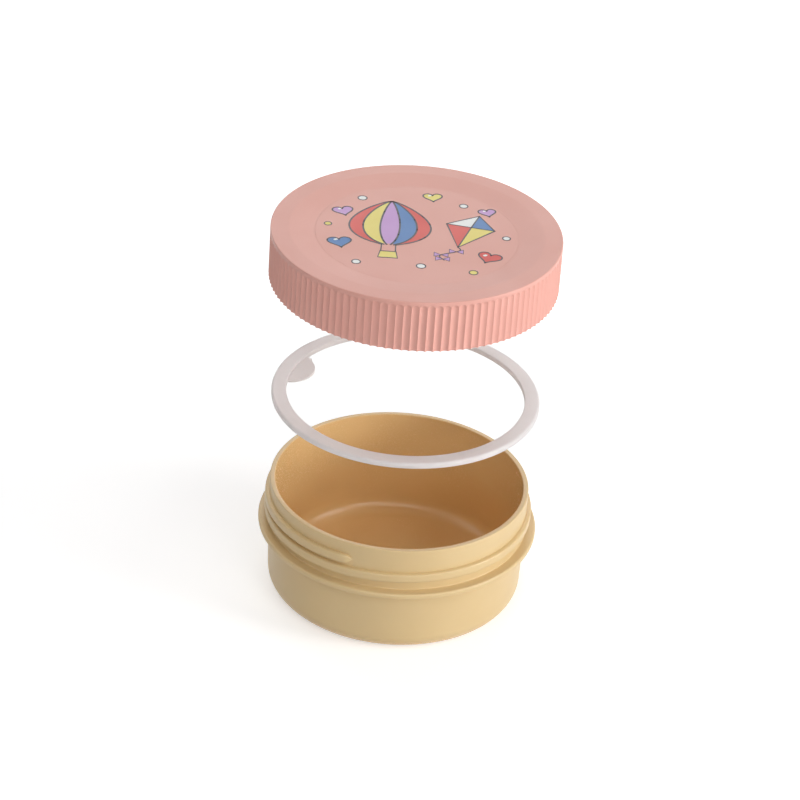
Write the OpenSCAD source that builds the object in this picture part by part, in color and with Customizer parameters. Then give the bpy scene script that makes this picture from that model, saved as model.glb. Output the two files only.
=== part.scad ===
// Snack container for small children: a round bowl with a screw neck, a screw lid with
// a fluted grip, and a loose sealing ring with a pull tab that lies between the two.
//
// Everything is turned about the Z axis and stands on Z = 0. The lid and the ring are
// drawn lifted off, one above the other, the way the opened container is laid out for
// washing. The lid stands a whole number of screw turns above its closed place, so that
// the same screw motion that lifts it also brings it down on the thread.

/* [Bowl] */
// Height of the bowl from the table to the rim
bowl_h = 46.5; // [36:0.5:80]
// Outer diameter of the neck, which the thread stands on
neck_d = 100; // [80:1:130]
// Wall thickness of the bowl
bowl_wall = 2; // [1.5:0.1:3]
// Thickness of the floor of the bowl
floor_t = 2.4; // [1.6:0.1:4]
// How much narrower the body is at the foot than at the collar, on the diameter
body_draft = 1.4; // [0:0.1:4]
// Outside rounding at the foot
foot_round = 7; // [3:0.5:10]
// Rounding between the inside wall and the floor
floor_round = 6; // [2:0.5:9]
// Width of the flat ring that the bowl stands on
foot_ring_w = 5.3; // [3:0.1:8]
// Depth of the shallow hollow under the foot
foot_hollow = 0.8; // [0.4:0.1:1.2]
// Rounding of the two edges of the rim
rim_round = 0.4; // [0.2:0.1:0.8]

/* [Collar] */
// Distance from the rim down to the top of the collar
collar_drop = 17; // [15.8:0.1:24]
// How far the collar stands out from the neck
collar_out = 4; // [3:0.1:7]
// Thickness of the collar
collar_t = 2.2; // [1.4:0.1:4]
// Rounding of the outer edges of the collar
collar_round = 0.7; // [0.2:0.1:0.7]

/* [Thread] */
// Rise of the thread in one turn
thread_lead = 5.2; // [4.8:0.1:6]
// How far the bowl's thread stands out from the neck
thread_out = 1.7; // [1:0.1:1.9]
// Width of the bowl's thread at its crest
thread_w = 3.4; // [2.4:0.1:3.4]
// Distance from the rim down to the upper edge of the thread where it starts
thread_drop = 4.9; // [3:0.1:5.2]
// Turns of thread on the bowl
thread_turns = 1.5; // [1:0.05:1.5]
// Angle at which the bowl's thread starts, seen from above
thread_start = 252; // [0:1:359]
// Turns of thread inside the lid
lid_thread_turns = 0.9; // [0.5:0.05:1]
// Height above the lid's mouth at which its thread ends
lid_thread_up = 1.1; // [0.8:0.1:2]
// Width of the lid's thread at its crest
lid_thread_w = 0.8; // [0.6:0.1:0.9]
// Gap between the bowl's thread and the lid's wall
thread_gap = 0.3; // [0.25:0.05:0.4]
// How far the lid's thread reaches in behind the bowl's thread
thread_bite = 0.5; // [0.3:0.05:0.7]

/* [Lid] */
// Height of the lid
lid_h = 20; // [18:0.5:21]
// Wall of the lid at the bottom of the flutes
lid_wall = 1.4; // [1:0.1:2]
// Depth of the flutes of the grip
flute_deep = 0.6; // [0.3:0.1:0.8]
// Number of flutes round the lid
flute_count = 120; // [60:1:140]
// Height over which a flute runs out at its upper end
flute_end = 0.9; // [0.5:0.1:2]
// Height of the smooth band above the flutes
band_h = 1.3; // [0.8:0.1:4]
// Thickness of the lid's top where it presses on the ring
lid_top = 2; // [1.8:0.1:3]
// Rounding of the lid's top edge
lid_edge = 0.4; // [0.2:0.1:0.7]
// Width of the flat ring round the lid's top
rim_w = 6.8; // [4:0.1:9]
// Width of the slope between that ring and the sunk panel
slope_w = 9; // [3:0.5:10]
// Depth of the panel below the lid's top
panel_drop = 1.2; // [0.6:0.1:1.6]
// Depth of the shoulder that keeps the ring in place
shoulder = 0.6; // [0.3:0.1:0.6]

/* [Label] */
// Thickness of the film that lies flush in the panel
film_t = 0.3; // [0.2:0.05:0.5]
// Thickness of the glue under the film
glue_t = 0.05; // [0.05:0.01:0.1]
// Distance from the slope to the film's edge
film_inset = 0.7; // [0.5:0.1:3]
// Gap round the film's edge
film_gap = 0.2; // [0.1:0.05:0.4]

/* [Sealing ring] */
// Thickness of the ring
seal_t = 2.2; // [1.8:0.1:2.5]
// Width of the ring from its inner to its outer edge
seal_w = 5.7; // [5:0.1:6.4]
// Gap between the ring's outer edge and the lid's thread that it passes
seal_edge_gap = 0.1; // [0.1:0.05:0.5]
// Gap above and below the ring when the lid is closed
seal_gap = 0.15; // [0.1:0.05:0.3]
// Rounding of the ring's upper outer edge
seal_round = 1; // [0.4:0.1:1.2]
// Rounding of the ring's other edges
seal_edge = 0.3; // [0.1:0.05:0.4]
// Radius of the round end of the pull tab
tab_r = 10.5; // [9:0.5:14]
// How far the pull tab reaches in from the ring
tab_reach = 7.7; // [5:0.1:9]
// How far the step at one end of the tab's root stands in from the ring
tab_root = 2.3; // [1:0.1:3]
// Thickness of the pull tab
tab_t = 1; // [0.6:0.1:1.2]
// Gap between the pull tab and the panel when the lid is closed
tab_gap = 0.15; // [0.1:0.05:0.2]
// Angle of the pull tab, seen from above
tab_angle = 162; // [0:1:359]

/* [Layout] */
// Whole screw turns by which the lid stands above its closed place
lid_turns = 20; // [16:1:30]
// Height of the ring above its closed place
seal_up = 37; // [10:1:50]

/* [Hidden] */
$fn = 180;

thread_step = 5;     // degrees between two cross sections of a thread
thread_ramp = 7;     // degrees over which a thread rises from the wall
thread_root = 0.4;   // how deep a thread's foot is sunk into the wall
flank = 0.2;         // how much each flank of the bowl's thread leans
lid_flank = 0.12;    // how much each flank of the lid's thread leans

neck_r = neck_d / 2;
neck_in_r = neck_r - bowl_wall;
foot_r = neck_r - body_draft / 2;
foot_in_r = foot_r - bowl_wall;
foot_hollow_r = foot_r - foot_round - foot_ring_w;
collar_top = bowl_h - collar_drop;
collar_r = neck_r + collar_out;
crest_r = neck_r + thread_out;

// The lid's wall clears the crest of the bowl's thread, and its own thread reaches past it.
lid_in_r = crest_r + thread_gap;
flute_root_r = lid_in_r + lid_wall;
lid_r = flute_root_r + flute_deep;
wall_mid_r = lid_in_r + lid_wall / 2;
lid_crest_r = crest_r - thread_bite;

// Closed places, from the rim upwards.
seal_closed = bowl_h + seal_gap;
ceiling_closed = seal_closed + seal_t + seal_gap;
lid_closed = ceiling_closed + lid_top - lid_h;

// Places as drawn.
seal_z = seal_closed + seal_up;
lid_z = lid_closed + lid_turns * thread_lead;
lid_top_z = lid_z + lid_h;

// The ring passes inside the lid's thread, whose crest runs in chords of thread_step.
seal_r = lid_crest_r * cos(thread_step / 2) - seal_edge_gap;
seal_in_r = seal_r - seal_w;
// The panel's underside clears the pull tab.
panel_under = lid_h - lid_top - seal_gap - seal_t + tab_t + tab_gap;
panel_r = lid_r - rim_w - slope_w;
film_r = panel_r - film_inset;
film_seat = lid_h - panel_drop - film_t - glue_t;

// Middle of the bowl's thread where it starts, and of the groove under it. The lid's thread
// lies in that groove. `lid_thread_x` is the angle from the bowl thread's start to its own.
thread_z = bowl_h - thread_drop - thread_w / 2;
groove_z = thread_z - thread_lead / 2;
lid_thread_x = 360 * ((groove_z - lid_closed - lid_thread_up) / thread_lead - lid_thread_turns);

// A rounded corner of a turned profile: centre, radius, and the angles it runs between.
function arc(cx, cy, r, from, to, n = 10) =
    [for (i = [0:n]) let (a = from + (to - from) * i / n) [cx + r * cos(a), cy + r * sin(a)]];

// How far out of the wall a thread stands at x degrees from its nearer end, as a part of
// its full height. It starts a little inside the wall.
function ramp(x) = x >= thread_ramp ? 1 : 1.15 * sin(90 * x / thread_ramp) - 0.15;

// One ridge that winds down from the angle `start`, seen from above. `z_top` is the
// height of its middle at the start, `wall_r` the wall that it grows from, `out` how far
// it stands out (negative for inwards), `crest` its width, `lean` how much each flank
// spreads towards the wall.
module ridge(start, turns, z_top, wall_r, out, crest, lean) {
    span = turns * 360;
    n = ceil(span / thread_step);
    m = 4;
    root_r = wall_r - sign(out) * thread_root;
    flip = out < 0;
    points = [for (i = [0:n])
        let (x = span * i / n,
             a = start - x,
             z = z_top - thread_lead * x / 360,
             s = ramp(min(x, span - x)),
             r = wall_r + out * s,
             c = crest * (0.4 + 0.6 * s) / 2,
             f = c + lean)
        for (p = [[root_r, -f], [root_r, f], [r, c], [r, -c]])
            [p[0] * cos(a), p[0] * sin(a), z + p[1]]];
    sides = [for (i = [0:n - 1], j = [0:m - 1])
        let (a = i * m + j, b = i * m + (j + 1) % m, c = a + m, d = b + m)
        each flip ? [[a, d, b], [a, c, d]] : [[a, b, d], [a, d, c]]];
    e = n * m;
    ends = flip ? [[0, 1, 2], [0, 2, 3], [e, e + 2, e + 1], [e, e + 3, e + 2]]
                : [[0, 2, 1], [0, 3, 2], [e, e + 1, e + 2], [e, e + 2, e + 3]];
    polyhedron(points, concat(sides, ends), convexity = 8);
}

// The bowl: floor, body with a slight draft, collar and straight neck.
module bowl() {
    color([0.86, 0.75, 0.58]) {
        rotate_extrude()
            polygon(concat(
                [[0, foot_hollow], [foot_hollow_r - foot_hollow, foot_hollow], [foot_hollow_r, 0]],
                arc(foot_r - foot_round, foot_round, foot_round, -90, 0, 12),
                [[neck_r, collar_top - collar_t]],
                arc(collar_r - collar_round, collar_top - collar_t + collar_round, collar_round, -90, 0, 5),
                arc(collar_r - collar_round, collar_top - collar_round, collar_round, 0, 90, 5),
                [[neck_r, collar_top]],
                arc(neck_r - rim_round, bowl_h - rim_round, rim_round, 0, 90, 4),
                arc(neck_in_r + rim_round, bowl_h - rim_round, rim_round, 90, 180, 4),
                [[neck_in_r, collar_top - collar_t]],
                arc(foot_in_r - floor_round, floor_t + floor_round, floor_round, 0, -90, 12),
                [[0, floor_t]]));
        ridge(thread_start, thread_turns, thread_z, neck_r, thread_out, thread_w, flank);
    }
}

// The sealing ring, with the tab that it is pulled out by.
module seal_ring() {
    tab_c = seal_in_r - tab_reach + tab_r;
    tab_half = acos((seal_in_r ^ 2 + tab_c ^ 2 - tab_r ^ 2) / (2 * seal_in_r * tab_c));
    color([0.93, 0.9, 0.9])
        translate([0, 0, seal_z])
            union() {
                rotate_extrude()
                    polygon(concat(
                        arc(seal_in_r + seal_edge, seal_edge, seal_edge, 180, 270, 4),
                        arc(seal_r - seal_edge, seal_edge, seal_edge, -90, 0, 4),
                        arc(seal_r - seal_round, seal_t - seal_round, seal_round, 0, 90, 6),
                        arc(seal_in_r + seal_edge, seal_t - seal_edge, seal_edge, 90, 180, 4)));
                intersection() {
                    rotate([0, 0, tab_angle])
                        translate([tab_c, 0, 0])
                            cylinder(r = tab_r, h = tab_t);
                    cylinder(r = seal_in_r + 0.5, h = tab_t);
                }
                rotate([0, 0, tab_angle - tab_half])
                    translate([seal_in_r - tab_root, -0.4, 0])
                        cube([tab_root + 0.4, 3.4, tab_t]);
            }
}

// The printed film, flush with the lid's panel.
module top_label() {
    color([0.87, 0.68, 0.64])
        translate([0, 0, lid_z + film_seat + glue_t])
            cylinder(r = film_r, h = film_t);
}

// The grip: a ring with round flutes side by side, and a sharp ridge between each two.
module grip() {
    n = 5;
    half = 180 / flute_count;
    tip_r = lid_r - 0.03;
    a = tip_r * sin(half);
    d = tip_r * cos(half) - flute_root_r;
    r = (a * a + d * d) / (2 * d);
    reach = atan2(a, r - d);
    difference() {
        linear_extrude(height = lid_h - band_h + 0.1)
            polygon([for (i = [0:flute_count - 1], k = [0:n - 1])
                let (b = reach * (2 * k / n - 1),
                     x = flute_root_r + r * (1 - cos(b)),
                     y = r * sin(b),
                     t = 2 * half * i)
                [x * cos(t) - y * sin(t), x * sin(t) + y * cos(t)]]);
        translate([0, 0, -1])
            cylinder(r = lid_in_r + lid_wall / 4, h = lid_h + 2);
    }
}

// The lid's shell: the skirt, the band at which the flutes run out, the flat ring of the
// top, the slope, and the sunk panel with the seat of the film.
module lid_shell() {
    run_out = flute_end / flute_deep * (lid_r - wall_mid_r);
    rotate_extrude()
        polygon(concat(
            [[lid_in_r + 0.3, 0], [wall_mid_r, 0], [wall_mid_r, lid_h - band_h - run_out]],
            [[lid_r, lid_h - band_h]],
            arc(lid_r - lid_edge, lid_h - lid_edge, lid_edge, 0, 90, 5),
            [[panel_r + slope_w, lid_h], [panel_r, lid_h - panel_drop],
             [film_r + film_gap, lid_h - panel_drop], [film_r + film_gap, film_seat],
             [0, film_seat], [0, panel_under], [panel_r, panel_under],
             [seal_in_r - 0.5, lid_h - lid_top - shoulder], [seal_in_r - 0.3, lid_h - lid_top],
             [lid_in_r, lid_h - lid_top], [lid_in_r, 0.3]]));
}

module lid() {
    color([0.87, 0.68, 0.64])
        translate([0, 0, lid_z])
            union() {
                lid_shell();
                grip();
                ridge(thread_start - lid_thread_x, lid_thread_turns,
                      groove_z - thread_lead * lid_thread_x / 360 - lid_closed,
                      lid_in_r, lid_crest_r - lid_in_r, lid_thread_w, lid_flank);
            }
}

bowl();
seal_ring();
top_label();
lid();
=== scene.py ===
# %% [markdown]
# # A snack container for small children
# The object is three mouldings and a printed film: a sand coloured bowl with a screw neck,
# a milky silicone ring with a pull tab, and a salmon pink lid with a fluted grip. It is
# shown opened, with the ring and the lid above the bowl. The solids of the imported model
# give every place and size, so the first step loads them and keeps their box.

import math

import bmesh
import bpy
from mathutils import Matrix, Vector


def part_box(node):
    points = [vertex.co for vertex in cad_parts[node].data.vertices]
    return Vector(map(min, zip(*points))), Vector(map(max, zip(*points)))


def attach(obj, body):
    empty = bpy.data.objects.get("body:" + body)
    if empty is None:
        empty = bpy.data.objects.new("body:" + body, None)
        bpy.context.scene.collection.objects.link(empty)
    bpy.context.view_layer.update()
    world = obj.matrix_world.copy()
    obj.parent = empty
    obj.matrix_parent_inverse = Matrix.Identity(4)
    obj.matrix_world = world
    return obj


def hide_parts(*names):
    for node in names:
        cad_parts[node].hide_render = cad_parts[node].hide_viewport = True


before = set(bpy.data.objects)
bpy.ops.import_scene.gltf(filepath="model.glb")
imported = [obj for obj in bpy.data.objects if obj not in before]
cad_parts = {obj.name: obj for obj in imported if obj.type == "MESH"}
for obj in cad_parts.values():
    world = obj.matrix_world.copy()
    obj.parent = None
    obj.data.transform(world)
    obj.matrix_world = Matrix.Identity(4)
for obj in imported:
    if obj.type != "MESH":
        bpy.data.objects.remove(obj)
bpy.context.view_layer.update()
MM = 0.001

# %% Heights and radii of the pieces, in millimetres
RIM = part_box("bowl")[1].z / MM
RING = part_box("seal_ring")[0].z / MM
RING_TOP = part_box("seal_ring")[1].z / MM
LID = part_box("lid")[0].z / MM
LID_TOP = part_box("lid")[1].z / MM
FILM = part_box("top_label")[0].z / MM
FILM_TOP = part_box("top_label")[1].z / MM
COLLAR_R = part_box("bowl")[1].x / MM
RING_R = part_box("seal_ring")[1].x / MM
GRIP_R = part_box("lid")[1].x / MM
FILM_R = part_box("top_label")[1].x / MM
NECK_R, WALL = 50.0, 2.0          # the bowl's neck, and its wall
print(f"rim {RIM:.2f}, ring {RING:.2f} to {RING_TOP:.2f}, lid {LID:.2f} to {LID_TOP:.2f}")
print(f"radii: collar {COLLAR_R:.2f}, ring {RING_R:.2f}, grip {GRIP_R:.2f}, film {FILM_R:.2f}")

# %% [markdown]
# ## The camera
# The photograph was taken from the front, about 31 degrees above the table, with a long
# lens that hardly narrows what is farther away. The object's axis leans a little to the
# right in it, so the camera is rolled. It could be placed by eye, but fitting it to the
# round edges of the pieces is surer. It is made first.

# %% Place the camera
PHOTO = 800          # pixels along each side of the picture
FOCUS = 3000         # focal length in pixels
ELEVATION = math.radians(31.0)
ROLL = math.radians(4.0)
AIM = Vector((0, 0, 0.0905))      # a point on the axis, between the ring and the lid
AIM_PIXEL = (406.5, 381.4)        # where that point lies in the picture
DISTANCE = 1.137

ahead = Vector((0, math.cos(ELEVATION), -math.sin(ELEVATION)))
level_up = Vector((0, math.sin(ELEVATION), math.cos(ELEVATION)))
right = Vector((1, 0, 0)) * math.cos(ROLL) + level_up * math.sin(ROLL)
up = level_up * math.cos(ROLL) - Vector((1, 0, 0)) * math.sin(ROLL)
side_shift = (AIM_PIXEL[0] - PHOTO / 2) / FOCUS * DISTANCE
rise_shift = (PHOTO / 2 - AIM_PIXEL[1]) / FOCUS * DISTANCE
eye = AIM - ahead * DISTANCE - right * side_shift - up * rise_shift

camera_data = bpy.data.cameras.new("camera")
camera_data.sensor_width = 36
camera_data.lens = FOCUS * 36 / PHOTO
camera_data.clip_start, camera_data.clip_end = 0.05, 20
camera = bpy.data.objects.new("camera", camera_data)
turn = Matrix((right, up, -ahead)).transposed().to_4x4()
camera.matrix_world = Matrix.Translation(eye) @ turn
bpy.context.collection.objects.link(camera)
bpy.context.scene.camera = camera
print("lens", round(camera_data.lens, 1), "mm, eye at", [round(v, 3) for v in eye])

# %% [markdown]
# ## Colours and finishes
# Moulded plastic is never one flat colour: it has a fine spark-eroded grain, a faint
# cloudiness where the melt flowed, and a gloss that varies with both. All the pieces share
# that skin, so it is one node group with its own inputs, and each material keeps its own
# Principled shader. Colours are written as a screen shows them, from 0 to 255.

# %% Write a screen colour as a shader colour
def screen(r, g, b):
    def lin(v):
        v /= 255
        return v / 12.92 if v <= 0.04045 else ((v + 0.055) / 1.055) ** 2.4
    return lin(r), lin(g), lin(b), 1.0


print("mid grey:", round(screen(128, 128, 128)[0], 3))

# %% Helpers to build trees of nodes
def add(tree, kind, at=(0, 0), **values):
    node = tree.nodes.new(kind)
    node.location = at
    for key, value in values.items():
        if hasattr(node, key):
            setattr(node, key, value)
        else:
            node.inputs[key.replace("_", " ")].default_value = value
    return node


class Value:
    """A number that a tree works out. The usual signs add the nodes for them."""

    def __init__(self, tree, socket):
        self.tree, self.socket = tree, socket

    def by(self, how, *others):
        node = self.tree.nodes.new("ShaderNodeMath")
        node.operation = how
        for slot, value in zip(node.inputs, (self, *others)):
            if isinstance(value, Value):
                value.into(slot)
            else:
                slot.default_value = value
        return Value(self.tree, node.outputs[0])

    def into(self, slot):
        self.tree.links.new(self.socket, slot)

    def __add__(self, other):
        return self.by("ADD", other)

    def __sub__(self, other):
        return self.by("SUBTRACT", other)

    def __rsub__(self, other):
        return self.by("MULTIPLY", -1.0).by("ADD", other)

    def __mul__(self, other):
        return self.by("MULTIPLY", other)

    def __truediv__(self, other):
        return self.by("DIVIDE", other)


def values_of(tree, node):
    """What a node gives, by name."""
    return {socket.name: Value(tree, socket) for socket in node.outputs}


print("node helpers ready")

# %% The skin of moulded plastic, which every material of the object wears
skin = bpy.data.node_groups.new("moulded_skin", "ShaderNodeTree")
for title, kind, first in (("Colour", "NodeSocketColor", (0.5, 0.5, 0.5, 1)),
                           ("Deep Colour", "NodeSocketColor", (0.4, 0.4, 0.4, 1)),
                           ("Clouding", "NodeSocketFloat", 0.3),
                           ("Grain per Metre", "NodeSocketFloat", 5000.0),
                           ("Grain Depth", "NodeSocketFloat", 0.1),
                           ("Roughness", "NodeSocketFloat", 0.5)):
    skin.interface.new_socket(title, in_out="INPUT", socket_type=kind).default_value = first
for title, kind in (("Colour", "NodeSocketColor"), ("Roughness", "NodeSocketFloat"),
                    ("Normal", "NodeSocketVector")):
    skin.interface.new_socket(title, in_out="OUTPUT", socket_type=kind)
skin_in = add(skin, "NodeGroupInput", (-900, 0))
skin_out = add(skin, "NodeGroupOutput", (700, 0))
where = add(skin, "ShaderNodeTexCoord", (-900, -300))
cloud = add(skin, "ShaderNodeTexNoise", (-500, 200), Scale=38.0, Detail=5.0, Roughness=0.55)
grain = add(skin, "ShaderNodeTexNoise", (-500, -150), Detail=2.0, Roughness=0.6)
pores = add(skin, "ShaderNodeTexVoronoi", (-500, -450))
for texture in (cloud, grain, pores):
    skin.links.new(where.outputs["Object"], texture.inputs["Vector"])
asked = values_of(skin, skin_in)
asked["Grain per Metre"].into(grain.inputs["Scale"])
(asked["Grain per Metre"] * 0.35).into(pores.inputs["Scale"])
haze = add(skin, "ShaderNodeMapRange", (-250, 200), From_Min=0.35, From_Max=0.65)
skin.links.new(cloud.outputs[0], haze.inputs["Value"])
tint = add(skin, "ShaderNodeMix", (50, 250), data_type="RGBA")
haziness = Value(skin, haze.outputs[0])
(haziness * asked["Clouding"]).into(tint.inputs[0])
skin.links.new(skin_in.outputs["Colour"], tint.inputs[6])
skin.links.new(skin_in.outputs["Deep Colour"], tint.inputs[7])
skin.links.new(tint.outputs[2], skin_out.inputs["Colour"])
grain_height = Value(skin, grain.outputs[0])
texture_height = Value(skin, pores.outputs["Distance"]).by("MULTIPLY_ADD", 0.5, grain_height)
gloss = (texture_height - 0.6).by("MULTIPLY_ADD", 0.18, asked["Roughness"])
haziness.by("MULTIPLY_ADD", 0.05, gloss).into(skin_out.inputs["Roughness"])
relief = add(skin, "ShaderNodeBump", (300, -250), Distance=0.00005)
skin.links.new(skin_in.outputs["Grain Depth"], relief.inputs["Strength"])
texture_height.into(relief.inputs["Height"])
skin.links.new(relief.outputs[0], skin_out.inputs["Normal"])
print("moulded_skin has", len(skin.nodes), "nodes")

# %% A material that wears the skin
def moulded(name, colour, deep, clouding, grain_scale, depth, roughness, **shader):
    made = bpy.data.materials.new(name)
    made.use_nodes = True
    tree = made.node_tree
    body = tree.nodes["Principled BSDF"]
    coat = add(tree, "ShaderNodeGroup", (-350, 0), node_tree=skin)
    coat.inputs["Colour"].default_value = colour
    coat.inputs["Deep Colour"].default_value = deep
    coat.inputs["Clouding"].default_value = clouding
    coat.inputs["Grain per Metre"].default_value = grain_scale
    coat.inputs["Grain Depth"].default_value = depth
    coat.inputs["Roughness"].default_value = roughness
    tree.links.new(coat.outputs["Colour"], body.inputs["Base Color"])
    tree.links.new(coat.outputs["Roughness"], body.inputs["Roughness"])
    tree.links.new(coat.outputs["Normal"], body.inputs["Normal"])
    for key, value in shader.items():
        body.inputs[key.replace("_", " ")].default_value = value
    made.diffuse_color = colour
    return made


sand = moulded("sand_plastic", screen(220, 193, 144), screen(211, 182, 131),
               0.35, 5200, 0.25, 0.28, Subsurface_Weight=0.06, Subsurface_Scale=0.0025,
               Subsurface_Radius=(1.0, 0.5, 0.2), IOR=1.49)
salmon = moulded("salmon_plastic", screen(224, 165, 152), screen(216, 155, 142),
                 0.3, 5200, 0.25, 0.4, Subsurface_Weight=0.05, Subsurface_Scale=0.0015,
                 Subsurface_Radius=(1.0, 0.5, 0.4), IOR=1.49)
film_skin = moulded("label_film", screen(224, 165, 152), screen(217, 156, 143),
                    0.25, 5200, 0.2, 0.4, IOR=1.5)
silicone = moulded("milky_silicone", screen(249, 244, 243), screen(242, 235, 234),
                   0.5, 2500, 0.2, 0.35, Transmission_Weight=0.32,
                   Subsurface_Weight=0.6, Subsurface_Scale=0.005,
                   Subsurface_Radius=(1.0, 0.96, 0.95), IOR=1.41)
print("plastics:", sand.name, salmon.name, film_skin.name, silicone.name)

# %% Make the inside of the bowl glossier, and paint light into its colour
# The mould's core is polished, so the inside shines more than the outside. Its deeper colour
# is painted light, standing in for light that has come through the wall and between the walls.
# The finish and the painted colour change in the rim.
INSIDE_R, OUTSIDE_R = (NECK_R - WALL - 0.2) * MM, (NECK_R - 0.8) * MM
INSIDE_ROUGHNESS, OUTSIDE_ROUGHNESS = 0.17, 0.34
# painted light: the inside's deeper colours stand in for light through the wall and between the
# walls
PAINTED_THROUGH_LIGHT_COLOURS = {"Colour": screen(229, 192, 135), "Deep Colour": screen(220, 181, 122)}
tree = sand.node_tree
coat = next(node for node in tree.nodes if node.type == "GROUP")
place = add(tree, "ShaderNodeTexCoord", (-1300, 0))
flat = add(tree, "ShaderNodeVectorMath", (-1100, 0), operation="MULTIPLY")
flat.inputs[1].default_value = (1, 1, 0)
across = add(tree, "ShaderNodeVectorMath", (-900, 0), operation="LENGTH")
tree.links.new(place.outputs["Object"], flat.inputs[0])
tree.links.new(flat.outputs[0], across.inputs[0])
shine = add(tree, "ShaderNodeMapRange", (-700, 0), From_Min=INSIDE_R, From_Max=OUTSIDE_R,
            To_Min=INSIDE_ROUGHNESS, To_Max=OUTSIDE_ROUGHNESS)
tree.links.new(across.outputs["Value"], shine.inputs["Value"])
tree.links.new(shine.outputs[0], coat.inputs["Roughness"])
# this mask fades the painted light of the inside out across the rim, to the plastic's own colour
outside = add(tree, "ShaderNodeMapRange", (-700, 300), From_Min=INSIDE_R, From_Max=OUTSIDE_R)
tree.links.new(across.outputs["Value"], outside.inputs["Value"])
for k, (socket, painted_colour) in enumerate(PAINTED_THROUGH_LIGHT_COLOURS.items()):
    blend = add(tree, "ShaderNodeMix", (-550, 300 + 250 * k), data_type="RGBA")
    blend.inputs[6].default_value = painted_colour
    blend.inputs[7].default_value = coat.inputs[socket].default_value
    tree.links.new(outside.outputs[0], blend.inputs[0])
    tree.links.new(blend.outputs[2], coat.inputs[socket])
print(f"the finish changes from radius {INSIDE_R / MM:.1f} to {OUTSIDE_R / MM:.1f}")

# %% [markdown]
# ## Turned shapes
# The bowl, the ring and the lid are round mouldings, which a toolmaker would turn on a
# lathe. A turned piece starts as an outline with true roundings at its corners, because
# light catches a moulding at its edges, and is then swept round the axis. Short flat
# strips beside each rounding keep the shading of the wide faces even.

# %% An outline with rounded corners
def rounded(corners, closed=False, fineness=44, strip=0.12):
    """corners: (radius from the axis, height, rounding) in millimetres."""
    line = []
    count = len(corners)
    for i, (r, z, rounding) in enumerate(corners):
        corner = Vector((r, z))
        if rounding == 0 or (not closed and i in (0, count - 1)):
            line.append(corner)
            continue
        back = Vector(corners[i - 1][:2]) - corner
        on = Vector(corners[(i + 1) % count][:2]) - corner
        half = back.angle(on) / 2
        reach = rounding / math.tan(half)
        room = min(strip, (back.length - reach) * 0.4, (on.length - reach) * 0.4)
        back.normalize(), on.normalize()
        centre = corner + (back + on).normalized() * (rounding / math.sin(half))
        first = corner + back * reach - centre
        bend = math.pi - 2 * half
        way = 1 if first.y * back.x - first.x * back.y > 0 else -1
        steps = max(4, math.ceil(bend / math.tau * fineness))
        if room > 0.01:
            line.append(corner + back * (reach + room))
        for k in range(steps + 1):
            a = way * bend * k / steps
            line.append(centre + Vector((first.x * math.cos(a) - first.y * math.sin(a),
                                         first.x * math.sin(a) + first.y * math.cos(a))))
        if room > 0.01:
            line.append(corner + on * (reach + room))
    return line


square = rounded([(1, 0, 0.2), (2, 0, 0.2), (2, 1, 0.2), (1, 1, 0.2)], closed=True)
print("a square with rounded corners has", len(square), "points")

# %% Turn an outline round the axis
def turned(name, outline, material, closed=False, around=288):
    verts, faces, rings = [], [], []
    for r, z in outline:
        if r < 1e-6:
            rings.append([len(verts)] * around)
            verts.append((0, 0, z * MM))
            continue
        rings.append(list(range(len(verts), len(verts) + around)))
        for k in range(around):
            a = math.tau * k / around
            verts.append((r * math.cos(a) * MM, r * math.sin(a) * MM, z * MM))
    pairs = list(zip(rings, rings[1:])) + ([(rings[-1], rings[0])] if closed else [])
    for low, high in pairs:
        for k in range(around):
            face = (low[k], low[(k + 1) % around], high[(k + 1) % around], high[k])
            faces.append([v for j, v in enumerate(face) if v != face[j - 1]])
    return solid(name, verts, faces, material)


def solid(name, verts, faces, material, smooth=True):
    mesh = bpy.data.meshes.new(name)
    mesh.from_pydata(verts, [], faces)
    tidy_mesh(mesh, smooth)
    mesh.materials.append(material)
    made = bpy.data.objects.new(name, mesh)
    bpy.context.collection.objects.link(made)
    return made


def tidy_mesh(mesh, smooth=True, merge=1e-7):
    work = bmesh.new()
    work.from_mesh(mesh)
    bmesh.ops.remove_doubles(work, verts=work.verts, dist=merge)
    bmesh.ops.recalc_face_normals(work, faces=work.faces)
    if work.faces and work.calc_volume(signed=True) < 0:
        bmesh.ops.reverse_faces(work, faces=work.faces)
    for face in work.faces:
        face.smooth = smooth
    work.to_mesh(mesh)
    work.free()
    mesh.set_sharp_from_angle(angle=math.radians(35))


print("turning helpers ready")

# %% [markdown]
# ## The bowl
# The bowl is one moulding about 2 mm thick: a flat floor with a wide rounding, a body that
# is nearly straight, a collar that ends just below the closed lid, and a plain neck. It
# could be a block with its inside cut out, but one outline that runs round the whole wall
# keeps its thickness even. The thread is added after it.

# %% Turn the bowl
COLLAR_TOP, COLLAR_T = RIM - 17.0, 2.2
FOOT_R, FLOOR, HOLLOW_R = 49.3, 2.4, 37.0
bowl_outline = rounded([
    (0, 0.8, 0), (HOLLOW_R - 0.8, 0.8, 0.5), (HOLLOW_R, 0, 0.3), (FOOT_R, 0, 7.0),
    (NECK_R, COLLAR_TOP - COLLAR_T, 0.5), (COLLAR_R, COLLAR_TOP - COLLAR_T, 0.7),
    (COLLAR_R, COLLAR_TOP, 0.8), (NECK_R, COLLAR_TOP, 0.4), (NECK_R, RIM, 0.42),
    (NECK_R - WALL, RIM, 0.42), (NECK_R - WALL, COLLAR_TOP - COLLAR_T, 6.0),
    (FOOT_R - WALL, FLOOR, 6.0), (0, FLOOR, 0)])
bowl = turned("bowl_shell", bowl_outline, sand)
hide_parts("bowl")
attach(bowl, "bowl")
print("bowl_shell:", len(bowl.data.polygons), "faces")

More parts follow.
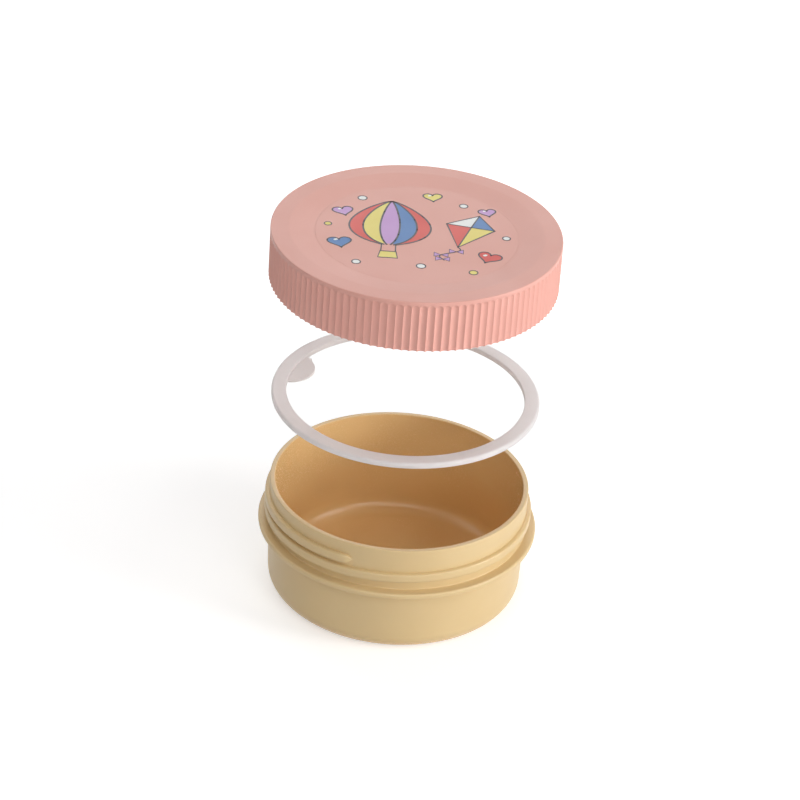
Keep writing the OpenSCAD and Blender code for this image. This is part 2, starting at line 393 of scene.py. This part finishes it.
# %% [markdown]
# ## The screw thread
# A thread is a ridge that follows a helix, so it is a shape with a rule: Geometry Nodes
# draw the helix, shrink the section towards both ends as a mould cutter leaves it, and
# sweep a rounded trapezium along it. The same tree makes the thread inside the lid, with
# the ridge turned inwards.

# %% Helpers for trees of geometry nodes
def geometry_tree(name, inputs):
    tree = bpy.data.node_groups.new(name, "GeometryNodeTree")
    tree.is_modifier = True
    tree.interface.new_socket("Geometry", in_out="INPUT", socket_type="NodeSocketGeometry")
    tree.interface.new_socket("Geometry", in_out="OUTPUT", socket_type="NodeSocketGeometry")
    for title, kind in inputs:
        tree.interface.new_socket(title, in_out="INPUT", socket_type="NodeSocket" + kind)
    return tree, add(tree, "NodeGroupInput", (-1200, 0)), add(tree, "NodeGroupOutput", (1200, 0))


def run_tree(name, tree, material, **values):
    """Runs a tree on an empty mesh, and returns what it makes as a plain piece."""
    start = bpy.data.objects.new(name, bpy.data.meshes.new(name))
    bpy.context.collection.objects.link(start)
    made_by = start.modifiers.new("tree", "NODES")
    made_by.node_group = tree
    for item in tree.interface.items_tree:
        if item.item_type == "SOCKET" and item.in_out == "INPUT":
            key = item.name.replace(" ", "_")
            if key in values:
                made_by[item.identifier] = values[key]
            elif item.name == "Material":
                made_by[item.identifier] = material
    bpy.context.view_layer.update()
    seen = start.evaluated_get(bpy.context.evaluated_depsgraph_get())
    mesh = bpy.data.meshes.new_from_object(seen)
    mesh.name = name
    start.modifiers.clear()
    start.data = mesh
    tidy_mesh(mesh)
    if not mesh.materials:
        mesh.materials.append(material)
    return start


def flow(tree, first, *nodes):
    """Links the geometry through the nodes, one after the other."""
    for node in nodes:
        tree.links.new(first, node.inputs[0])
        first = node.outputs[0]
    return first


print("tree helpers ready")

# %% The tree of a ridge that follows a helix
thread_tree, given, result = geometry_tree("thread_tree", (
    ("Wall Radius", "Float"), ("Reach", "Float"), ("Sunk", "Float"), ("Crest", "Float"),
    ("Root", "Float"), ("Lead", "Float"), ("Turns", "Float"), ("Top", "Float"),
    ("Start", "Float"), ("Run Out", "Float"), ("Corner", "Float"), ("Inwards", "Float"),
    ("Material", "Material")))
t = thread_tree
g = values_of(t, given)
fall = g["Lead"] * g["Turns"]
helix = add(t, "GeometryNodeCurveSpiral", (-900, 200), Resolution=180)
g["Turns"].into(helix.inputs["Rotations"])
g["Wall Radius"].into(helix.inputs["Start Radius"])
g["Wall Radius"].into(helix.inputs["End Radius"])
fall.into(helix.inputs["Height"])
helix.inputs["Reverse"].default_value = True
place = add(t, "GeometryNodeTransform", (-650, 200))
shift = add(t, "ShaderNodeCombineXYZ", (-850, -50))
(g["Top"] - fall).into(shift.inputs["Z"])
spin = add(t, "ShaderNodeCombineXYZ", (-850, -200))
(g["Start"] - g["Turns"] * math.tau).into(spin.inputs["Z"])
t.links.new(shift.outputs[0], place.inputs["Translation"])
t.links.new(spin.outputs[0], place.inputs["Rotation"])
upright = add(t, "GeometryNodeSetCurveNormal", (-450, 200), mode="Z_UP")
along = Value(t, add(t, "GeometryNodeSplineParameter", (-1000, -400)).outputs["Length"])
whole = Value(t, add(t, "GeometryNodeSplineLength", (-1000, -550)).outputs["Length"])
nearest_end = along.by("MINIMUM", whole - along)
part = (nearest_end / g["Run Out"]).by("MINIMUM", 1.0)
swell = (1.0 - (1.0 - part).by("POWER", 2.0)).by("SQRT").by("MAXIMUM", 0.02)
thick = add(t, "GeometryNodeSetCurveRadius", (-250, 200))
swell.into(thick.inputs["Radius"])
section = add(t, "GeometryNodeCurvePrimitiveQuadrilateral", (-650, -700), mode="TRAPEZOID")
g["Root"].into(section.inputs["Bottom Width"])
g["Crest"].into(section.inputs["Top Width"])
(g["Reach"] + g["Sunk"]).into(section.inputs["Height"])
section.inputs["Offset"].default_value = 0.0
soften = add(t, "GeometryNodeFilletCurve", (-450, -700), mode="POLY", Count=4)
g["Corner"].into(soften.inputs["Radius"])
stand = add(t, "GeometryNodeTransform", (-250, -700))
stand.inputs["Rotation"].default_value = (0, 0, -math.pi / 2)
outwards = add(t, "GeometryNodeTransform", (-50, -700))
out_by = add(t, "ShaderNodeCombineXYZ", (-250, -900))
((g["Reach"] - g["Sunk"]) * (g["Inwards"] / 2.0)).into(out_by.inputs["X"])
flip = add(t, "ShaderNodeCombineXYZ", (-250, -1050), Y=1.0, Z=1.0)
g["Inwards"].into(flip.inputs["X"])
t.links.new(out_by.outputs[0], outwards.inputs["Translation"])
t.links.new(flip.outputs[0], outwards.inputs["Scale"])
sweep = add(t, "GeometryNodeCurveToMesh", (100, 200))
sweep.inputs["Fill Caps"].default_value = True
t.links.new(flow(t, helix.outputs[0], place, upright, thick), sweep.inputs["Curve"])
t.links.new(flow(t, section.outputs[0], soften, stand, outwards), sweep.inputs["Profile Curve"])
swell.into(sweep.inputs["Scale"])
finish_thread = add(t, "GeometryNodeSetMaterial", (500, 200))
t.links.new(given.outputs["Material"], finish_thread.inputs["Material"])
realized = add(t, "GeometryNodeRealizeInstances", (300, 200))
t.links.new(flow(t, sweep.outputs[0], realized, finish_thread), result.inputs[0])
print("thread_tree has", len(t.nodes), "nodes")

# %% Wind the bowl's thread
THREAD_OUT, THREAD_W, LEAD = 1.7, 3.4, 5.2
THREAD_DROP = 4.9                 # from the rim to the thread's upper edge
bowl_thread = run_tree(
    "bowl_thread", thread_tree, sand, Wall_Radius=NECK_R * MM, Reach=THREAD_OUT * MM,
    Sunk=0.6 * MM, Crest=THREAD_W * MM, Root=(THREAD_W + 0.5) * MM, Lead=LEAD * MM, Turns=1.5,
    Top=(RIM - THREAD_DROP - THREAD_W / 2) * MM, Start=math.radians(252), Run_Out=5 * MM,
    Corner=0.65 * MM, Inwards=1.0)
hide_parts("bowl")
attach(bowl_thread, "bowl")
crest = max(math.hypot(v.co.x, v.co.y) for v in bowl_thread.data.vertices) / MM
heights = [v.co.z / MM for v in bowl_thread.data.vertices]
print(f"bowl_thread: crest radius {crest:.2f}, heights {min(heights):.2f} to {max(heights):.2f}, "
      f"{len(bowl_thread.data.polygons)} faces")

# %% [markdown]
# ## The lid
# The lid's top has a flat ring round its edge, a wide soft slope and a sunk panel that takes
# the film. Its skirt is fluted: 120 shallow round grooves with a sharp ridge between each
# two, which run out just under the top edge. The outer wall could be cut with 120 tools,
# but every point of it follows one rule, the depth of a flute at its angle and height, so
# Geometry Nodes bend a plain grid into it. The rest of the shell is turned like the bowl.

# %% Turn the lid's top, inside and mouth
SKIRT_IN, FLUTE_DEEP, BAND, FLUTE_END = 52.0, 0.6, 1.3, 1.3
SLOPE_R, PANEL_R, EDGE = GRIP_R - 6.8, GRIP_R - 15.8, 0.4
RING_IN = RING_R - 5.7
CEILING = LID_TOP - 2.0
UNDER = LID + 16.8
SEAM = LID_TOP - BAND * 0.5                       # where the fluted wall takes over
POCKET_R = FILM_R + 0.04
FLUTE_ROOT = GRIP_R - FLUTE_DEEP
BEHIND = 0.6                                      # wall left behind a flute in the fluted part
lid_outline = rounded([
    (0, FILM - 0.05, 0), (POCKET_R, FILM - 0.05, 0), (POCKET_R, FILM_TOP, 0),
    (PANEL_R, FILM_TOP, 5.0), (SLOPE_R, LID_TOP, 7.0), (GRIP_R, LID_TOP, EDGE),
    (GRIP_R, SEAM, 0), (FLUTE_ROOT - BEHIND, SEAM, 0), (FLUTE_ROOT - BEHIND, LID, 0),
    (SKIRT_IN, LID, 0.3), (SKIRT_IN, CEILING, 0.3), (RING_IN - 0.3, CEILING, 0.2),
    (RING_IN - 0.5, CEILING - 0.6, 0.1), (PANEL_R, UNDER, 3.0), (0, UNDER, 0)])
lid = turned("lid_shell", lid_outline, salmon)
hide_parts("lid")
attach(lid, "lid")
print("lid_shell:", len(lid.data.polygons), "faces")

# %% The tree of the fluted wall
grip_tree, given, result = geometry_tree("grip_tree", (
    ("Count", "Int"), ("Steps per Flute", "Int"), ("Radius", "Float"), ("Depth", "Float"),
    ("Bottom", "Float"), ("Height", "Float"), ("Top of Flutes", "Float"), ("Run Out", "Float"),
    ("Wall", "Float"), ("Material", "Material")))
t = grip_tree
CURVE, ABOVE = 11, 2                               # rows up a flute, and from there to the seam
LAST = CURVE + ABOVE + 3
CROWDING = 1.9                                     # how much the rows crowd towards the arch
sheet = add(t, "GeometryNodeMeshGrid", (-1000, 200), Size_X=1.0, Size_Y=1.0, Vertices_Y=LAST + 1)
g = values_of(t, given)
(g["Count"] * g["Steps per Flute"] + 1.0).into(sheet.inputs["Vertices X"])
spot = add(t, "GeometryNodeInputPosition", (-1000, -200))
parts = add(t, "ShaderNodeSeparateXYZ", (-850, -200))
t.links.new(spot.outputs[0], parts.inputs[0])
turn_part = Value(t, parts.outputs["X"]) + 0.5               # 0 to 1 round the wall
row = (Value(t, parts.outputs["Y"]) + 0.5) * float(LAST)


def part_of(value, first, length):
    """0 before `first`, rising to 1 over `length`."""
    return ((value - first) / length).by("MAXIMUM", 0.0).by("MINIMUM", 1.0)


# across one flute, from -1 at one ridge to 1 at the next, and its square
across = (turn_part * g["Count"] + 0.0001).by("FRACT") * 2.0 - 1.0
aside = across * across
# every flute ends in an arch, and one row of the grid lies along that arch
arch = g["Top of Flutes"] - g["Run Out"] * (1.0 - (1.0 - aside).by("MAXIMUM", 0.0).by("SQRT"))
up = 1.0 - (1.0 - part_of(row, 1.0, float(CURVE))).by("POWER", CROWDING)
on = part_of(row, CURVE + 1.0, float(ABOVE))
height = (arch * up + (g["Height"] - arch) * on) * row.by("LESS_THAN", LAST - 0.5)
rise = part_of(height, g["Top of Flutes"] - g["Run Out"], g["Run Out"])
hollow = (1.0 - aside - rise * rise).by("MAXIMUM", 0.0)
# the first row and the last two are the wall's back, which closes it into a tube
at_back = row.by("LESS_THAN", 0.5).by("MAXIMUM", row.by("GREATER_THAN", LAST - 1.5))
radius = (g["Radius"] - hollow * g["Depth"]) * (1.0 - at_back) + (g["Radius"] - g["Wall"]) * at_back
angle = turn_part * math.tau
reshaped = add(t, "ShaderNodeCombineXYZ", (-300, -300))
(radius * angle.by("COSINE")).into(reshaped.inputs["X"])
(radius * angle.by("SINE")).into(reshaped.inputs["Y"])
(height + g["Bottom"]).into(reshaped.inputs["Z"])
bend = add(t, "GeometryNodeSetPosition", (-100, 200))
t.links.new(reshaped.outputs[0], bend.inputs["Position"])
paint = add(t, "GeometryNodeSetMaterial", (500, 200))
t.links.new(given.outputs["Material"], paint.inputs["Material"])
close = add(t, "GeometryNodeMergeByDistance", (100, 200), Distance=1e-6)
realized = add(t, "GeometryNodeRealizeInstances", (300, 200))
t.links.new(flow(t, sheet.outputs[0], bend, close, realized, paint), result.inputs[0])
print("grip_tree has", len(t.nodes), "nodes")

# %% Bend the fluted wall
FLUTES, STEPS = 120, 10
grip = run_tree(
    "lid_grip", grip_tree, salmon, Count=FLUTES, Steps_per_Flute=STEPS, Radius=GRIP_R * MM,
    Depth=FLUTE_DEEP * MM, Bottom=LID * MM, Height=(SEAM - LID) * MM,
    Top_of_Flutes=(LID_TOP - BAND - LID) * MM, Run_Out=FLUTE_END * MM,
    Wall=(FLUTE_DEEP + BEHIND) * MM)
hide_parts("lid")
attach(grip, "lid")
print(f"lid_grip: {FLUTES} flutes, {len(grip.data.polygons)} faces, outer radius "
      f"{max(math.hypot(v.co.x, v.co.y) for v in grip.data.vertices) / MM:.2f}")

# %% Wind the lid's thread
LID_CREST, LID_TURNS, LID_THREAD_UP = 0.8, 0.9, 1.1
lid_thread = run_tree(
    "lid_thread", thread_tree, salmon, Wall_Radius=SKIRT_IN * MM, Reach=LID_CREST * MM,
    Sunk=0.4 * MM, Crest=LID_CREST * MM, Root=(LID_CREST + 0.24) * MM, Lead=LEAD * MM,
    Turns=LID_TURNS, Top=(LID + LID_THREAD_UP + LEAD * LID_TURNS) * MM,
    Start=math.radians(216), Run_Out=6 * MM, Corner=0.2 * MM, Inwards=-1.0)
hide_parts("lid")
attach(lid_thread, "lid")
crest = min(math.hypot(v.co.x, v.co.y) for v in lid_thread.data.vertices) / MM
print(f"lid_thread: crest radius {crest:.2f}")

# %% [markdown]
# ## The sealing ring
# The ring is pressed from clear silicone that has gone milky. Its upper outer edge is
# broadly rounded. The pull tab is a thin flap with a step at one end of its root, level
# with the ring's underside. It could be a second piece that reaches into the ring, but
# light passes through silicone and would show where they overlap, so the two are joined.

# %% Turn the ring
ring_outline = rounded([(RING_IN, RING, 0.3), (RING_R, RING, 0.3), (RING_R, RING_TOP, 1.0),
                        (RING_IN, RING_TOP, 0.3)], closed=True)
ring = turned("seal_ring_skin", ring_outline, silicone, closed=True)
print("seal_ring_skin:", len(ring.data.polygons), "faces")

# %% Shape the pull tab
TAB_R, TAB_REACH, TAB_T, TAB_AT, STEP_IN = 10.5, 7.7, 1.0, math.radians(162), 2.3
tab_centre = RING_IN - TAB_REACH + TAB_R


def half_angle(at):
    """Half the angle over which the tab's circle lies inside the circle of radius `at`."""
    return math.acos((tab_centre ** 2 + at ** 2 - TAB_R ** 2) / (2 * tab_centre * at))


HELD, SUNK = 0.6, 0.4             # how far the flap's root and its step reach into the ring
hold = RING_IN + HELD
cut, lean = half_angle(hold), half_angle(RING_IN)
tip = math.atan2(hold * math.sin(cut), hold * math.cos(cut) - tab_centre)


def beside(x, y):
    """A point measured from the step's own direction, as a point beside the tab's middle line."""
    return x * math.cos(lean) + y * math.sin(lean), y * math.cos(lean) - x * math.sin(lean)


step_x = RING_IN - STEP_IN
off_centre = step_x - tab_centre * math.cos(lean)
step_y = tab_centre * math.sin(lean) - math.sqrt(TAB_R ** 2 - off_centre ** 2)
corner = beside(step_x, step_y)
end = math.atan2(corner[1], corner[0] - tab_centre) % math.tau
flap = [(tab_centre + TAB_R * math.cos(a), TAB_R * math.sin(a))
        for a in (tip + (end - tip) * k / 48 for k in range(49))]
flap += [beside(step_x, -SUNK), beside(hold, -SUNK)]
flap += [(hold * math.cos(a), hold * math.sin(a))
         for a in (-lean + (cut + lean) * k / 16 for k in range(16))]
work = bmesh.new()
low = [work.verts.new((x * MM, y * MM, RING * MM)) for x, y in flap]
high = [work.verts.new((x * MM, y * MM, (RING + TAB_T) * MM)) for x, y in flap]
work.faces.new(low), work.faces.new(high)
for k in range(len(flap)):
    work.faces.new((low[k - 1], low[k], high[k], high[k - 1]))
bmesh.ops.recalc_face_normals(work, faces=work.faces)
rims = [e for e in work.edges if abs(e.verts[0].co.z - e.verts[1].co.z) < 1e-9]
bmesh.ops.bevel(work, geom=rims, offset=0.25 * MM, segments=3, affect="EDGES", profile=0.5)
bmesh.ops.rotate(work, verts=work.verts, cent=(0, 0, 0), matrix=Matrix.Rotation(TAB_AT, 3, "Z"))
tab_mesh = bpy.data.meshes.new("tab")
work.to_mesh(tab_mesh)
work.free()
tab_mesh.materials.append(silicone)
tab = bpy.data.objects.new("tab", tab_mesh)
bpy.context.collection.objects.link(tab)
print("pull tab", round(2 * cut * hold, 1), "mm wide at the ring")

# %% Join the tab to the ring
join = ring.modifiers.new("join", "BOOLEAN")
join.operation, join.object, join.solver = "UNION", tab, "EXACT"
bpy.context.view_layer.update()
joined = bpy.data.meshes.new_from_object(ring.evaluated_get(bpy.context.evaluated_depsgraph_get()))
ring.modifiers.clear()
ring.data = joined
bpy.data.objects.remove(tab)
tidy_mesh(ring.data)
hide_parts("seal_ring")
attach(ring, "seal_ring")
print("ring and tab:", len(ring.data.polygons), "faces")

# %% [markdown]
# ## The film and its print
# The picture on a lid like this is printed on a thin film that lies in the mould. The film
# is a smooth disc. The print has its own motifs, a striped balloon, a kite, hearts and
# dots, in the flat bright inks and thin dark outlines that children's tableware has. A
# material could draw them, but here each ink is a very thin raised sheet, whose edges stay
# sharp from near by, and print of this kind does stand proud a little.

# %% Turn the film
film_outline = rounded([(0, FILM, 0), (FILM_R, FILM, 0), (FILM_R, FILM_TOP, 0.03),
                        (0, FILM_TOP, 0)], strip=0.4)
film = turned("label_skin", film_outline, film_skin)
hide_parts("top_label")
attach(film, "top_label")
print("label_skin:", len(film.data.polygons), "faces")

# %% Inks
def ink(name, colour, deep):
    return moulded(name, screen(*colour), screen(*deep), 0.5, 9000, 0.15, 0.36, IOR=1.5)


INKS = {"red": ink("red_ink", (214, 66, 52), (196, 52, 42)),
        "lilac": ink("lilac_ink", (196, 152, 208), (184, 138, 198)),
        "yellow": ink("yellow_ink", (232, 216, 112), (222, 204, 96)),
        "blue": ink("blue_ink", (62, 118, 178), (50, 104, 166)),
        "white": ink("white_ink", (240, 242, 240), (230, 233, 232)),
        "dark": ink("line_ink", (38, 34, 44), (28, 26, 36))}
sheets = {name: ([], []) for name in INKS}
print("inks:", list(INKS))

# %% Lay a patch or a line of ink
PRINT = 1.12          # the size of the whole print


def patch(colour, outline, layer=1):
    """outline: points in millimetres on the panel, x to the right and y away."""
    outline = [(x * PRINT, y * PRINT) for x, y in outline]
    verts, faces = sheets[colour]
    work = bmesh.new()
    top = [work.verts.new((x * MM, y * MM, (FILM_TOP + 0.02 * layer) * MM)) for x, y in outline]
    low = [work.verts.new((x * MM, y * MM, (FILM_TOP - 0.05) * MM)) for x, y in outline]
    cap = work.faces.new(top)
    under = work.faces.new(low[::-1])
    for k in range(len(outline)):
        work.faces.new((top[k - 1], low[k - 1], low[k], top[k]))
    bmesh.ops.triangulate(work, faces=[cap, under], ngon_method="EAR_CLIP")
    bmesh.ops.recalc_face_normals(work, faces=work.faces)
    work.verts.index_update()
    base = len(verts)
    verts += [v.co[:] for v in work.verts]
    faces += [[base + v.index for v in f.verts] for f in work.faces]
    work.free()


def line(points, width=0.55, closed=False, layer=3):
    """A dark line of ink through the points."""
    count = len(points)
    left, right_side = [], []
    for k, (x, y) in enumerate(points):
        before = points[k - 1] if closed or k else points[0]
        after = points[(k + 1) % count] if closed or k < count - 1 else points[-1]
        d = Vector((after[0] - before[0], after[1] - before[1])).normalized()
        left.append((x - d.y * width / 2, y + d.x * width / 2))
        right_side.append((x + d.y * width / 2, y - d.x * width / 2))
    for k in range(count if closed else count - 1):
        j = (k + 1) % count
        patch("dark", [left[k], left[j], right_side[j], right_side[k]], layer)


def oval(x, y, rx, ry, tilt=0, n=40):
    c, s = math.cos(tilt), math.sin(tilt)
    return [(x + rx * math.cos(a) * c - ry * math.sin(a) * s,
             y + rx * math.cos(a) * s + ry * math.sin(a) * c)
            for a in (math.tau * k / n for k in range(n))]


def heart(x, y, size, tilt=0, n=44):
    c, s = math.cos(tilt), math.sin(tilt)
    shape = []
    for k in range(n):
        a = math.tau * k / n
        u = size * 0.062 * 16 * math.sin(a) ** 3 * 0.5
        v = size * 0.062 * 0.5 * (13 * math.cos(a) - 5 * math.cos(2 * a)
                                  - 2 * math.cos(3 * a) - math.cos(4 * a))
        shape.append((x + u * c - v * s, y + u * s + v * c))
    return shape


print("a heart of size 8 is", round(max(p[0] for p in heart(0, 0, 8)) * 2, 1), "mm wide")

# %% Print the balloon
BX, BY, BW = -9.0, 6.0, 13.5


def balloon_half(v):
    """Half width of the balloon, v from 0 at the mouth to 1 at the crown."""
    return BW * math.sin(math.pi * v ** 0.78) ** 0.72 if 0 < v < 1 else 0


def balloon_point(f, v):
    w = max(balloon_half(v), 2.2 * (1 - v) if v < 0.12 else 0.0)
    return BX + f * w, BY - 15 + 31 * v


levels = [k / 36 for k in range(37)]
edges = (-1, -0.66, -0.24, 0.24, 0.66, 1)
for (f0, f1), colour in zip(zip(edges, edges[1:]), ("red", "yellow", "lilac", "blue", "red")):
    side_a = [balloon_point(f0, v) for v in levels[1:-1]]
    side_b = [balloon_point(f1, v) for v in levels[-2:0:-1]]
    patch(colour, side_a + side_b, 1)
for f in edges:
    line([balloon_point(f, v) for v in levels], 0.6)
basket = [(BX - 2.6, BY - 19.5), (BX + 2.6, BY - 19.5),
          (BX + 3.2, BY - 23.8), (BX - 3.2, BY - 23.8)]
patch("yellow", basket, 1)
line(basket, 0.55, closed=True)
for sx in (-1, 1):
    line([(BX + sx * 2.3, BY - 14.6), (BX + sx * 2.4, BY - 19.5)], 0.4)
print("balloon printed")

# %% Print the kite, the hearts and the dots
KX, KY = 17.0, 4.0
kite = [(KX + 3.4, KY + 11.5), (KX + 8.6, KY + 1.6), (KX - 3.4, KY - 11.5), (KX - 7.4, KY + 4.6)]
middle = (KX + 0.8, KY + 3.0)
for k, colour in enumerate(("blue", "yellow", "red", "white")):
    patch(colour, [middle, kite[k], kite[(k + 1) % 4]], 1)
    line([middle, kite[k]], 0.45)
line(kite, 0.6, closed=True)
tail = [(KX - 3.4 - 5.5 * u + 2.0 * math.sin(u * 7), KY - 11.5 - 9.5 * u)
        for u in (k / 24 for k in range(25))]
line(tail, 0.45)
for k in (8, 15, 22):
    x, y = tail[k]
    for sx in (-1, 1):
        bow = [(x, y), (x + sx * 2.3, y + 1.5), (x + sx * 2.3, y - 1.2)]
        patch("lilac", bow if sx > 0 else bow[::-1], 2)
        line(bow, 0.35, closed=True, layer=4)
for x, y, size, tilt, colour in ((-25, 13, 7, 0.3, "lilac"), (24, -13, 8, -0.35, "red"),
                                 (4.5, 27, 6.5, 0.1, "yellow"), (-25, -9, 8, 0.2, "blue"),
                                 (23, 18.5, 6, 0.25, "lilac")):
    patch(colour, heart(x, y, size, tilt), 1)
    line(heart(x, y, size, tilt), 0.5, closed=True)
    patch("white", oval(x - size * 0.17, y + size * 0.16, size * 0.1, size * 0.07, 0.6, 16), 2)
for x, y, r, colour in ((-19, 23, 1.5, "white"), (15, 22, 1.4, "white"), (-29.5, 3, 1.2, "yellow"),
                        (2, -22, 1.5, "white"), (-19, -22, 1.4, "white"), (29.5, 1, 1.3, "white"),
                        (19, -24, 1.4, "yellow")):
    patch(colour, oval(x, y, r, r, n=20), 1)
    line(oval(x, y, r, r, n=20), 0.4, closed=True)
print("print has", sum(len(f) for v, f in sheets.values()), "faces")

# %% Make the sheets of ink
for colour, (verts, faces) in sheets.items():
    sheet_of_ink = solid("print_" + colour, verts, faces, INKS[colour], smooth=False)
    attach(sheet_of_ink, "lid")
print("sheets of ink:", len(sheets))

# %% [markdown]
# ## Floor, light and colours of the picture
# A plain pale floor and a white room give the clean background. To the camera the floor
# shines a little more with its distance from the object, so it runs out to white and still
# keeps the object's soft shadow. The strongest lamp is low on the right and rather small, so
# upright faces to the right are bright and the left side falls off. A second low and small
# one in front draws the flutes and the ledges of the thread crisply. The lid's top is lit
# from above and behind, by lamps that the lid itself keeps off the ledges of the bowl.

# %% Tell apart what is seen from what gives light
def by_ray(tree, hidden, shown, at):
    """`shown` for rays from the camera, a gloss or a clear piece, and `hidden` for others."""
    ray = values_of(tree, add(tree, "ShaderNodeLightPath", (at[0] - 600, 300)))
    direct = ray["Is Camera Ray"].by(
        "MAXIMUM", ray["Is Glossy Ray"].by("MAXIMUM", ray["Is Transmission Ray"]))
    pick = add(tree, "ShaderNodeMixShader", at)
    direct.into(pick.inputs[0])
    tree.links.new(hidden.outputs[0], pick.inputs[1])
    tree.links.new(shown.outputs[0], pick.inputs[2])
    return pick


print("ray helper ready")

# %% Lay the floor
floor_mesh = bpy.data.meshes.new("floor")
floor_mesh.from_pydata([(-6, -6, 0), (6, -6, 0), (6, 6, 0), (-6, 6, 0)], [], [(0, 1, 2, 3)])
floor = bpy.data.objects.new("floor", floor_mesh)
bpy.context.collection.objects.link(floor)
NEAR, FAR, NEAR_GLOW = 0.1, 0.9, 0.48     # metres from the axis, and the glow at the nearer
paper = bpy.data.materials.new("white_paper")
paper.use_nodes = True
tree = paper.node_tree
tree.nodes.clear()
matt = add(tree, "ShaderNodeBsdfDiffuse", (-300, 0), Color=(0.8, 0.8, 0.8, 1))
glow = add(tree, "ShaderNodeEmission", (-300, -200), Color=(1, 1, 1, 1))
spot = add(tree, "ShaderNodeTexCoord", (-900, -200))
away = add(tree, "ShaderNodeVectorMath", (-700, -200), operation="LENGTH")
tree.links.new(spot.outputs["Object"], away.inputs[0])
fade = add(tree, "ShaderNodeMapRange", (-500, -200), From_Min=NEAR, From_Max=FAR,
           To_Min=NEAR_GLOW, To_Max=1.0)
tree.links.new(away.outputs["Value"], fade.inputs["Value"])
tree.links.new(fade.outputs[0], glow.inputs["Strength"])
none = add(tree, "ShaderNodeEmission", (-300, -400), Color=(1, 1, 1, 1), Strength=0.0)
pick = by_ray(tree, none, glow, (0, -200))
total = add(tree, "ShaderNodeAddShader", (200, 0))
tree.links.new(matt.outputs[0], total.inputs[0])
tree.links.new(pick.outputs[0], total.inputs[1])
tree.links.new(total.outputs[0], add(tree, "ShaderNodeOutputMaterial", (400, 0)).inputs[0])
floor_mesh.materials.append(paper)
print("floor laid")

# %% Light the world
world = bpy.data.worlds.new("white_room")
bpy.context.scene.world = world
world.use_nodes = True
tree = world.node_tree
tree.nodes.clear()
room = add(tree, "ShaderNodeBackground", (-300, 100), Color=(1, 1, 1, 1), Strength=0.03)
white = add(tree, "ShaderNodeBackground", (-300, -100), Color=(1, 1, 1, 1), Strength=1.0)
pick = by_ray(tree, room, white, (0, 0))
tree.links.new(pick.outputs[0], add(tree, "ShaderNodeOutputWorld", (200, 0)).inputs[0])
print("world lit")

# %% Hang the lamps
LAMP_AIM = Vector((0, 0, 0.08))
LAMPS = {                                 # place in metres, size in metres, watts
    "side_lamp": ((1.2, -0.32, 0.28), 0.5, 8.5),
    "upper_side_lamp": ((0.925, -0.248, 0.88), 0.7, 3.0),
    "front_lamp": ((-0.15, -1.2, 0.33), 0.4, 2.4),
    "upper_front_lamp": ((0, -0.8, 1.04), 0.9, 3.0),
    "front_side_lamp": ((0.63, -0.96, 0.62), 0.6, 2.3),
    "left_lamp": ((-1.02, 0, 0.8), 1.0, 1.3),
    "back_lamp": ((-0.47, 0.87, 0.85), 1.0, 3.7),
    "low_back_lamp": ((0.2, 1.13, 0.66), 0.8, 2.0),
    "top_lamp": ((0, 0.12, 1.3), 0.5, 1.6)}
for name, (spot_at, size, watts) in LAMPS.items():
    light = bpy.data.lights.new(name, "AREA")
    light.shape, light.size, light.energy = "DISK", size, watts
    lamp = bpy.data.objects.new(name, light)
    lamp.location = spot_at
    lamp.rotation_mode = "QUATERNION"
    lamp.rotation_quaternion = (LAMP_AIM - Vector(spot_at)).to_track_quat("-Z", "Y")
    bpy.context.collection.objects.link(lamp)
print("lamps hung:", len(LAMPS))

# %% Show colours as they are written
bpy.context.scene.view_settings.view_transform = "Standard"
